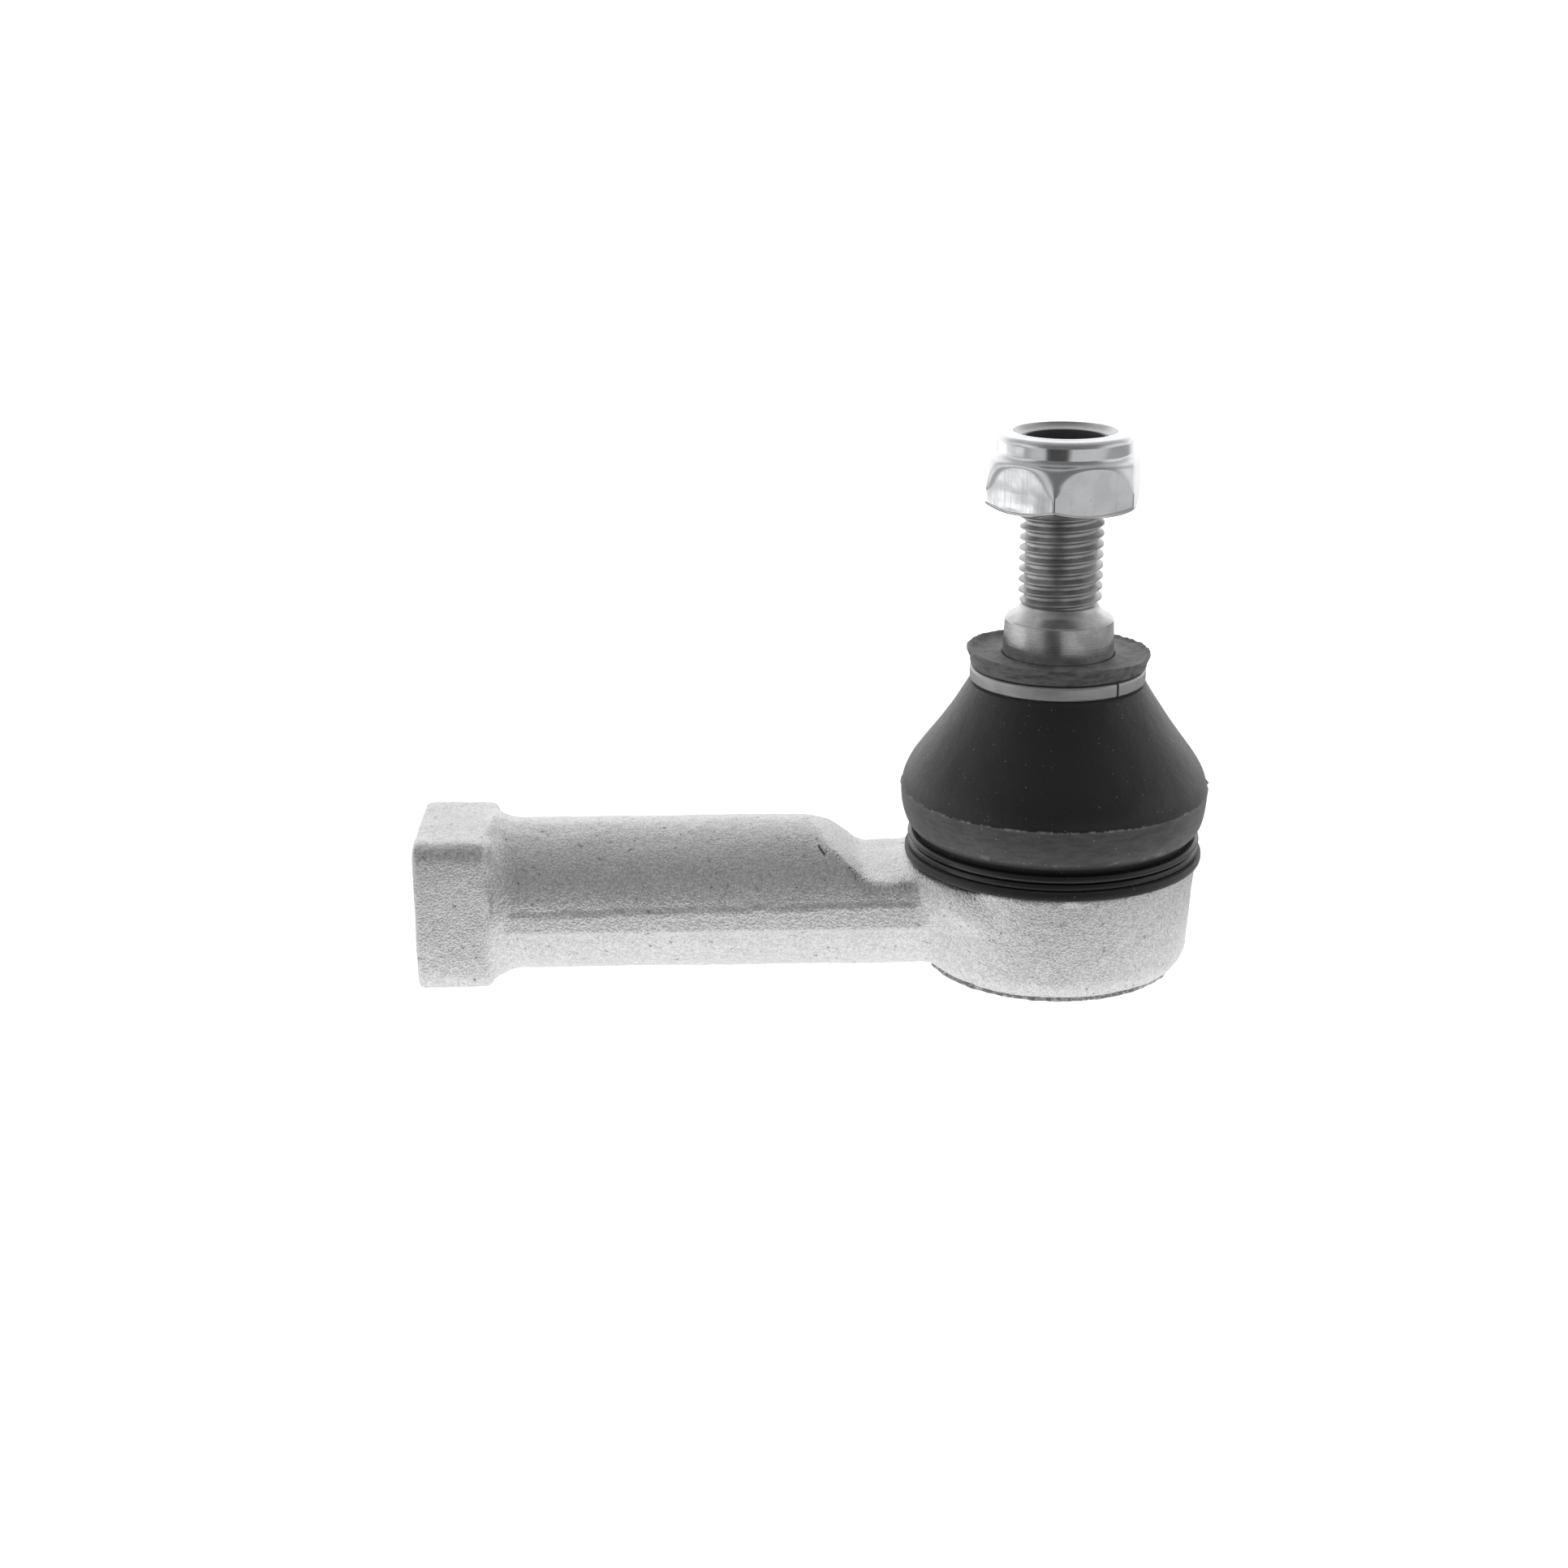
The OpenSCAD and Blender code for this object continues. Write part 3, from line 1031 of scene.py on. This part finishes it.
@dataclass
class Stud(SubAssembly):
    """Ball stud with its taper, undercut and rolled thread."""

    box: Box = field(default_factory=lambda: cad_box("ball_stud"))
    ball_r: float = 11.0
    neck_r: float = 5.5
    neck_top: float = 12.0
    seal: float = 15.0
    taper_r: float = 6.375
    taper_z: float = 26.8
    slope: float = 0.05
    thread_r: float = 4.9
    thread_z: float = 28.35
    thread_phase: float = 28.9
    pitch: float = 1.25
    root_r: float = 4.233

    def build(self) -> list[Thing]:
        """Makes the pieces, dressed and on their bodies."""
        steel = TurnedSteel().mixed()
        piece = self._shaft().solid("ball_stud_turned", steel)
        combine(piece, self._thread().solid("thread", steel), Join.ADD)
        settle(piece, crease=32)
        return [hand_over(piece, Body.STUD, "ball_stud")]

    def _shaft(self) -> Form:
        """Ball, neck, taper and undercut."""
        low = self.box[0].z
        meet = 90 - math.degrees(math.asin(self.neck_r / self.ball_r))
        seal_r = self.taper_r + self.slope * (self.taper_z - self.seal)
        corner = 0.12
        outline = [
            # Ball and neck
            (0.0, low), *arc(0, 0, self.ball_r, math.degrees(math.asin(low / self.ball_r)), meet, 48),
            (self.neck_r, self.neck_top), *arc(self.neck_r + 2.2, self.neck_top, 2.2, 180, 120, 8)[1:],
            # Taper, its edge, and the shoulder down to the thread
            (seal_r, self.seal), (self.taper_r + corner * 0.2, self.taper_z - corner),
            (self.taper_r - corner, self.taper_z + corner * 0.7),
            *bezier(
                (self.taper_r - 0.2, self.taper_z + 0.13), (5.65, self.taper_z + 0.45),
                (4.8, self.taper_z + 0.85), (4.52, self.taper_z + 1.7), 14,
            ),
            (self.root_r - 0.02, self.thread_z + 0.3), (0.0, self.thread_z + 0.3),
        ]
        return Form().lathe(outline, ROUND)

    def _thread(self) -> Form:
        """Thread with a soft start at the undercut and a chamfered end."""
        top = self.box[1].z
        form = Form().thread(
            self.root_r, self.thread_r, self.pitch, self.thread_z - 0.1, top, phase=self.thread_phase, steps=96
        )

        def ends(co: Vector, reach: float) -> float:
            """Draws the thread in at both ends."""
            share = ease(co.z, self.thread_z - 0.2, self.thread_z + 0.9)
            return min(self.root_r + (reach - self.root_r) * share, self.thread_r - 1.0 + (top - co.z))

        return form.resize(ends)


@dataclass
class LockNut(SubAssembly):
    """Cold-formed nut with a round collar and its nylon ring."""

    box: Box = field(default_factory=lambda: cad_box("lock_nut"))
    across_flats: float = 17.0
    corner_azimuth: float = 16.0
    corner_round: float = 0.3
    collar_r: float = 7.95
    soft: float = 0.5
    thread_r: float = 5.0
    pitch: float = 1.25
    thread_phase: float = 28.9
    tap_r: float = 4.37
    rim_r: float = 6.25
    seat_r: float = 6.9
    lip_r: float = 5.02
    hole_r: float = 4.6

    def build(self) -> list[Thing]:
        """Makes the pieces, dressed and on their bodies."""
        zinc = BrightZinc().mixed()
        nut = self._blank().solid("lock_nut_plated", zinc)
        dull = BrightZinc("dull_zinc", (0.66, 0.665, 0.675), (0.52, 0.525, 0.53), roughness=0.30).mixed()
        combine(nut, self._recess().solid("recess", dull), Join.CUT)
        combine(nut, self._tap().solid("tap", zinc), Join.CUT)
        settle(nut, crease=38)
        # The nylon gets painted shade inside its bore.
        nylon = Plastic("nylon", (0.40, 0.405, 0.41), (0.30, 0.305, 0.31), bore_r=self.hole_r + 0.08).mixed()
        insert = self._insert().solid("nut_insert_ring", nylon)
        settle(insert, crease=40)
        return [
            hand_over(nut, Body.NUT, "lock_nut"),
            hand_over(insert, Body.NUT_CARRIER, "nut_insert"),
        ]

    def _flat(self, azimuth: float) -> float:
        """Radius of the hexagon with rounded corners at an azimuth."""
        half = self.across_flats / 2
        turn = (azimuth - self.corner_azimuth + 30) % 60 - 30
        centre = (half - self.corner_round) / math.cos(math.radians(30))
        reach = math.degrees(math.atan((half - self.corner_round) * math.tan(math.radians(30)) / half))
        if abs(turn) < 30 - reach:
            phi = math.radians(turn)
            return centre * math.cos(phi) + math.sqrt(self.corner_round**2 - (centre * math.sin(phi)) ** 2)
        return half / math.cos(math.radians(30 - abs(turn)))

    def _blank(self) -> Form:
        """Hexagon below, collar above, with soft edges between."""
        z0, z1 = self.box[0].z, self.box[1].z
        collar = self.collar_r
        outer = [
            # Chamfer, corners and the curve in to the collar
            (8.15, z0), (8.3, z0 + 0.03), (9.95, z0 + 0.95), (10.4, z0 + 1.3), (10.2, z0 + 2.6),
            *bezier((9.95, z0 + 2.9), (9.55, z0 + 3.6), (9.5, z0 + 4.4), (9.15, z0 + 5.3), 8),
            *bezier((9.0, z0 + 5.6), (8.75, z0 + 5.95), (collar + 0.12, z0 + 5.95), (collar, z0 + 6.5), 6),
            # Collar and its rolled rim
            (collar, z1 - 1.0), *arc(collar - 0.75, z1 - 0.9, 0.75, 0, 76, 10), (self.rim_r + 0.3, z1 - 0.07),
            (self.rim_r + 0.13, z1 - 0.02), (self.rim_r, z1),
        ]
        outline = [(0.0, z0), (7.9, z0), *dense(outer, 0.2), (0.0, z1)]
        form = Form().lathe(outline, 420, begin=self.corner_azimuth)

        def pressed(co: Vector, reach: float) -> float:
            """Brings the turned shape in to the hexagon."""
            if reach < 7.8:
                return reach
            flat = self._flat(math.degrees(math.atan2(co.y, co.x)))
            blend = max(self.soft - abs(reach - flat), 0.0) / self.soft
            return min(reach, flat) - blend * blend * self.soft / 4 + noise.noise(co * 0.35) * 0.03

        return form.resize(pressed)

    def _recess(self) -> Form:
        """Seat of the nylon ring, and the rolled lip that dips in over it."""
        z1 = self.box[1].z
        outline = [
            (0.0, z1 - 2.35), (self.seat_r, z1 - 2.35), (self.seat_r, z1 - 0.98), (self.lip_r + 0.13, z1 - 0.95),
            (self.lip_r, z1 - 0.82), (self.lip_r + 0.05, z1 - 0.7), (self.lip_r + 0.5, z1 - 0.6),
            (self.rim_r - 0.5, z1 - 0.45), (self.rim_r - 0.3, z1 - 0.15), (self.rim_r - 0.1, z1 + 0.3),
            (0.0, z1 + 0.3),
        ]
        return Form().lathe(outline, 180)

    def _tap(self) -> Form:
        """Thread and countersink of the nut, which run with the stud's thread."""
        z0, z1 = self.box[0].z, self.box[1].z
        form = Form().thread(
            self.tap_r, self.thread_r + 0.06, self.pitch, z0 - 0.5, z1 - 1.6, phase=self.thread_phase, steps=72
        )

        def mouth(co: Vector, reach: float) -> float:
            """Widens the tap at the nut's lower face."""
            return max(reach, self.thread_r + 0.45 - (co.z - z0))

        return form.resize(mouth)

    def _insert(self) -> Form:
        """Nylon ring with a rounded bore."""
        z1 = self.box[1].z
        low, high = z1 - 2.32, z1 - 0.68
        outline = [
            *arc(self.hole_r + 0.35, low + 0.35, 0.35, 270, 180, 5),
            *arc(self.hole_r + 0.14, high - 0.14, 0.14, 180, 90, 5), (self.lip_r - 0.02, high - 0.04),
            (self.lip_r - 0.02, z1 - 0.99), (self.seat_r - 0.02, z1 - 0.99), (self.seat_r - 0.02, low),
        ]
        return Form().lathe(outline, 120, closed=True)


@dataclass
class Boot(SubAssembly):
    """Rubber boot with its wound wire below and its split ring above."""

    box: Box = field(default_factory=lambda: cad_box("dust_boot"))
    ring_box: Box = field(default_factory=lambda: cad_box("boot_upper_ring"))
    wire_box: Box = field(default_factory=lambda: cad_box("boot_lower_ring"))
    seam: float = 6.15
    nub_azimuth: float = -2.0
    flash_azimuth: float = 28.0
    brim_inset: float = 0.4
    wire_r: float = 0.49
    gap_azimuth: float = -56.0
    gap: float = 0.35
    steps: int = 216

    def build(self) -> list[Thing]:
        """Makes the pieces and dresses them; the wire and the ring go on their bodies, the boot stays on none."""
        boot = self._sleeve().solid("dust_boot_rubber", BootRubber().mixed())
        settle(boot, crease=42)
        wire = self._wire().solid("boot_lower_wire", BlackWire().mixed())
        settle(wire, crease=50)
        grey = EvenMetal(
            name="ring_grey", light=(0.52, 0.52, 0.52), dark=(0.45, 0.45, 0.45), cloud=0.5, grain=4.0,
            metallic=0.5, roughness=0.30, spread=0.1, depth=0.008,
        )
        ring = self._ring().solid("boot_upper_split_ring", grey.mixed())
        settle(ring, crease=40)
        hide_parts("dust_boot")
        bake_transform(boot)
        return [
            boot,
            hand_over(wire, Body.BOOT_BASE, "boot_lower_ring"),
            hand_over(ring, Body.BOOT_NECK, "boot_upper_ring"),
        ]

    def _sleeve(self) -> Form:
        """The boot's wall, from the flange to the lip and back down inside."""
        low, high = self.box[0].z, self.box[1].z
        wide = self.box[1].x
        brim = wide - self.brim_inset
        outside = [
            # Flange on the head, and the groove for the wire
            (15.08, low), (brim - 0.25, low), (brim - 0.05, low + 0.12), (brim, low + 0.35),
            (brim - 0.02, low + 0.75), (brim - 0.2, low + 0.97), (16.7, low + 1.02), (16.55, low + 1.15),
            (16.5, 0.9), (16.7, 1.12),
            # Wall up to the seam, and from there to the neck
            *bezier((17.0, 1.25), (17.9, 1.8), (wide + 0.04, 3.6), (wide + 0.07, self.seam - 0.12), 14),
            (wide + 0.08, self.seam - 0.03), (wide - 0.03, self.seam + 0.04),
            *bezier((wide - 0.05, self.seam + 0.2), (wide - 0.32, 9.6), (14.95, 11.45), (10.6, 18.85), 44),
            # Groove for the split ring
            (10.35, 19.02), (9.25, 19.05), (9.2, 19.2), (9.2, 20.95), (9.3, 21.1), (10.1, 21.1), (10.32, 21.16),
            # Lip, with its dished top
            (10.42, 21.4), (10.44, 21.95), (10.56, 22.02), (10.8, high - 0.3), (10.83, high - 0.06),
            (10.68, high + 0.02), (10.4, high - 0.12), (9.9, high - 0.42), (8.6, high - 0.62), (7.3, high - 0.5),
            (6.8, high - 0.32), (6.67, high - 0.4),
        ]
        inside = [
            (6.93, 17.2), (7.735, 16.8), *bezier((8.6, 17.6), (13.0, 12.4), (16.4, 9.6), (16.7, self.seam), 24),
            (16.3, 1.7), (16.3, 0.34), (15.06, 0.34),
        ]
        outline = dense(outside + inside + outside[:1], 0.5)[:-1]

        def moulded(co: Vector) -> Vector:
            """Adds flash, a nub and the slack of soft rubber."""
            reach = math.hypot(co.x, co.y)
            azimuth = math.degrees(math.atan2(co.y, co.x))
            outer = ease(reach, 17.0, 18.0) if co.z < 9 else 1.0
            seam = ease(abs(co.z - self.seam), 0.2, 0.02) * outer
            push = seam * (0.05 + 0.10 * noise.noise(Vector((co.x, co.y, 3)) * 0.9))
            off_nub = abs((azimuth - self.nub_azimuth + 180) % 360 - 180)
            push += 0.32 * ease(off_nub, 1.3, 0.5) * ease(abs(co.z - self.seam - 0.1), 0.5, 0.15) * outer
            if 2.0 < co.z < 18.0:
                share = ease(co.z, 2.0, 4.0) * ease(co.z, 18.0, 15.5)
                push += share * (0.10 * noise.noise(co * 0.09) + 0.03 * noise.noise(co * 0.4))
            if co.z > 21.3:
                lip = ease(reach, 9.6, 10.6)
                ragged = noise.noise(Vector((co.x, co.y, 7)) * 1.3)
                off_flash = abs((azimuth - self.flash_azimuth + 180) % 360 - 180)
                flash = ease(off_flash, 50, 25) * ease(co.z, 22.3, 22.8)
                push += lip * (0.08 * ragged + flash * (0.14 * abs(ragged) + 0.04))
                lean = 0.28 * noise.noise(co * 0.12) - 0.022 * co.x
                co = Vector((co.x, co.y, co.z + lip * (lean + (0.06 + 0.12 * flash) * ragged)))
            wide_now = (reach + push) / reach
            return Vector((co.x * wide_now, co.y * wide_now, co.z))

        return Form().lathe(outline, self.steps, closed=True).shape(moulded)

    def _wire(self) -> Form:
        """Spring wire wound twice from the back, where it steps up and has its cut ends."""
        low = self.wire_box[0].z + self.wire_r
        high = self.wire_box[1].z - self.wire_r
        centre = self.wire_box[1].x - self.wire_r
        section = arc(centre, low, self.wire_r, 0, 360, 14)[:-1]
        clear = 12.0  # degrees from the back to each end
        sweep = 720 - 2 * clear
        steps = 348
        form = Form()
        verts = [form.bm.verts.new((r, 0.0, z)) for r, z in section]
        edges = [form.bm.edges.new(pair) for pair in zip(verts, verts[1:] + verts[:1])]
        turn = Matrix.Rotation(math.radians(90 + clear), 3, "Z")
        bmesh.ops.rotate(form.bm, verts=verts, cent=(0, 0, 0), matrix=turn)
        onward = Matrix.Rotation(math.radians(sweep / steps), 3, "Z")
        height = 0.0
        for step in range(1, steps + 1):
            made = bmesh.ops.extrude_edge_only(form.bm, edges=edges)["geom"]
            verts = [g for g in made if isinstance(g, bmesh.types.BMVert)]
            edges = [g for g in made if isinstance(g, bmesh.types.BMEdge)]
            edges = [e for e in edges if e.verts[0] in verts and e.verts[1] in verts]
            angle = clear + sweep * step / steps
            target = (high - low) * ease(angle, 360 - clear * 0.9, 360 + clear * 0.9)
            bmesh.ops.rotate(form.bm, verts=verts, cent=(0, 0, 0), matrix=onward)
            bmesh.ops.translate(form.bm, verts=verts, vec=(0, 0, target - height))
            height = target
        return form.close_ends()

    def _ring(self) -> Form:
        """Flat ring with rounded edges and a gap."""
        low, high = self.ring_box[0].z, self.ring_box[1].z
        inner, outer, corner = 9.22, 10.4, 0.35
        outline = [
            *arc(inner + 0.1, low + 0.1, 0.1, 180, 270, 3), *arc(outer - corner, low + corner, corner, -90, 0, 5),
            *arc(outer - corner, high - corner, corner, 0, 90, 5), *arc(inner + 0.1, high - 0.1, 0.1, 90, 180, 3),
        ]
        half = math.degrees(self.gap / 2 / outer)
        begin = self.gap_azimuth + half
        return Form().lathe(outline, 180, closed=True, begin=begin, sweep=360 - 2 * half)


@dataclass
class Plug(SubAssembly):
    """Pressed cover that the head's lower edge is rolled over."""

    box: Box = field(default_factory=lambda: cad_box("closing_plug"))

    def build(self) -> list[Thing]:
        """Makes the pieces, dressed and on their bodies."""
        low, high = self.box[0].z, self.box[1].z
        wide = self.box[1].x
        outline = [
            (0.0, low + 0.5), (7.6, low + 0.5),
            *bezier((7.6, low + 0.5), (8.3, low + 0.5), (8.3, low + 0.02), (9.2, low + 0.02), 8)[1:],
            (wide - 0.4, low + 0.02), (wide - 0.02, low + 0.4), (wide - 0.02, high - 0.02), (0.0, high - 0.02),
        ]
        steel = PressedSteel("plated_plug", (0.62, 0.62, 0.63), (0.42, 0.42, 0.43), roughness=0.28).mixed()
        piece = Form().lathe(dense(outline, 0.6), 120).solid("closing_plug_pressed", steel)
        settle(piece, crease=40)
        return [hand_over(piece, Body.HOUSING, "closing_plug")]


@dataclass
class Inside(SubAssembly):
    """Bearing seats and disc spring, which stay as the CAD made them."""

    nodes: dict[str, Thing]

    def build(self) -> list[Thing]:
        """Dresses the CAD nodes."""
        acetal = Plastic("acetal", (0.74, 0.71, 0.62), (0.66, 0.62, 0.52)).mixed()
        spring = PressedSteel("spring_steel", (0.30, 0.30, 0.32), (0.16, 0.16, 0.17), roughness=0.25).mixed()
        paints = {"upper_seat": acetal, "lower_seat": acetal, "preload_spring": spring}
        for name, paint in paints.items():
            self.nodes[name].data.materials.clear()
            self.nodes[name].data.materials.append(paint)
        return [self.nodes[name] for name in paints]


# ---- Studio ----


@dataclass(frozen=True)
class Viewpoint:
    """The camera: a long way round the front, a little above."""

    place: tuple[float, float, float] = (-0.039776, -0.270029, 0.095351)
    pitch: float = -18.217
    yaw: float = 1.526
    roll: float = -0.247
    lens: float = 54.24
    sensor: float = 36.0

    def build(self) -> Thing:
        """Makes the camera and gives it to the scene."""
        p, y, r = (math.radians(a) for a in (self.pitch, self.yaw, self.roll))
        forward = Vector((math.sin(y) * math.cos(p), math.cos(y) * math.cos(p), math.sin(p)))
        level = Vector((math.cos(y), -math.sin(y), 0))
        upright = level.cross(forward)
        right = level * math.cos(r) + upright * math.sin(r)
        up = right.cross(forward)
        lens = bpy.data.cameras.new("camera")
        lens.lens = self.lens
        lens.sensor_width = self.sensor
        lens.clip_start = 0.01
        lens.clip_end = 20.0
        camera = bpy.data.objects.new("camera", lens)
        turn = Matrix((right, up, -forward)).transposed()
        camera.matrix_world = Matrix.Translation(self.place) @ turn.to_4x4()
        bpy.context.scene.collection.objects.link(camera)
        bpy.context.scene.camera = camera
        return camera


@dataclass(frozen=True)
class Studio:
    """White room with a darker side behind the camera, and a pale floor."""

    floor_z: float
    floor_glow: float = 0.62
    far_floor: float = 0.60
    near_floor: float = 1.1
    front_floor: float = 0.44
    back_floor: float = 1.2
    left_floor: float = 3.8
    seen_floor: float = 1.2
    horizon: float = 1.05

    def build(self) -> None:
        """Makes the floor and the room's light."""
        self._floor()
        self._room()
        scene = bpy.context.scene
        scene.view_settings.view_transform = "Standard"
        scene.view_settings.look = "None"

    def _floor(self) -> None:
        """Makes the floor, clear from below so that the underside can be looked at.

        It is white to the camera. To the object it glows zone by zone, in metres of the row frame, because
        the bright metal mirrors it.
        """
        form = Form()
        bmesh.ops.create_grid(form.bm, x_segments=8, y_segments=8, size=6000.0)
        bmesh.ops.translate(form.bm, vec=(0, 0, self.floor_z / MM), verts=form.bm.verts)
        paint = Paint("floor")
        x, y, _ = paint.split(paint.coords)
        seen = Value(paint, paint.node("ShaderNodeLightPath").outputs["Is Camera Ray"])
        # Bright close to the object's length, and again far in front and behind
        past_ends = paint.math("MAXIMUM", (x + 0.035).size() - 0.04, 0.0)
        reach = (past_ends * past_ends + y * y) ** 0.5
        near = reach.fall(0.014, 0.046) * self.near_floor
        front = y.fall(-0.20, -0.12) * self.front_floor
        behind = y.rise(0.18, 0.30) * self.back_floor
        # A dark wedge towards the camera, and a bright patch to the left
        wedge = ((x - y * 0.40) / (y * -1 + 0.001)).size().fall(0.30, 0.50) * y.fall(-0.13, -0.08)
        patch = x.fall(-0.26, -0.18) * x.rise(-0.325, -0.29) * (y - x * 0.163).rise(-0.013, -0.001)
        glow = (near + self.far_floor + front + behind) * (1 - wedge * 0.97) + patch * self.left_floor
        lit = paint.math("MAXIMUM", seen * self.seen_floor, glow) * 0.93
        pale = seen * 0.87 + 0.06
        inputs = {
            "Base Color": paint.join(pale, pale, pale),
            "Roughness": 0.9,
            "Emission Color": paint.join(lit, lit, lit),
            "Emission Strength": self.floor_glow,
        }
        shader = paint.node("ShaderNodeBsdfPrincipled", None, inputs)
        clear = paint.node("ShaderNodeBsdfTransparent")
        back = paint.node("ShaderNodeNewGeometry").outputs["Backfacing"]
        both = paint.node("ShaderNodeMixShader", None, {0: back, 1: shader.outputs[0], 2: clear.outputs[0]})
        paint.node("ShaderNodeOutputMaterial", None, {"Surface": both.outputs[0]})
        floor = form.solid("floor", paint.material)
        settle(floor, crease=30)
        floor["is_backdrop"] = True

    def _room(self) -> None:
        """Lights the scene from a sky that is white behind the object and darker before it."""
        world = bpy.data.worlds.new("room")
        world.use_nodes = True
        bpy.context.scene.world = world
        sky = Graph(world.node_tree)
        x, y, z = sky.split(sky.node("ShaderNodeTexCoord").outputs["Generated"])
        back = y - z * 0.45
        high = back.rise(-1.1, 0.1) * 0.38 + back.rise(0.1, 0.8) * 0.72 + 0.19
        level = sky.math("MAXIMUM", high, x.size().rise(0.55, 1.0) * 0.9)
        seen = Value(sky, sky.node("ShaderNodeLightPath").outputs["Is Camera Ray"])
        level = sky.math("MAXIMUM", level, seen * z.fall(0.25, 0.6) * self.horizon)
        colour = sky.join(level, level, level)
        light = sky.node("ShaderNodeBackground", None, {"Color": colour, "Strength": 1.0})
        sky.node("ShaderNodeOutputWorld", None, {"Surface": light.outputs[0]})


def main() -> None:
    """Builds the tie rod end and its studio."""
    logging.basicConfig(level=logging.INFO, format="%(name)s: %(message)s")
    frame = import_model()
    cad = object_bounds()
    Viewpoint().build()
    assemblies = (Housing(), Plug(), Inside(frame["nodes"]), Stud(), Boot(), LockNut())
    for assembly in assemblies:
        for piece in assembly.build():
            LOG.info("%s: %s has %d faces", type(assembly).__name__, piece.name, len(piece.data.polygons))
    Studio(floor_z=cad[0].z).build()


if __name__ == "__main__":
    main()
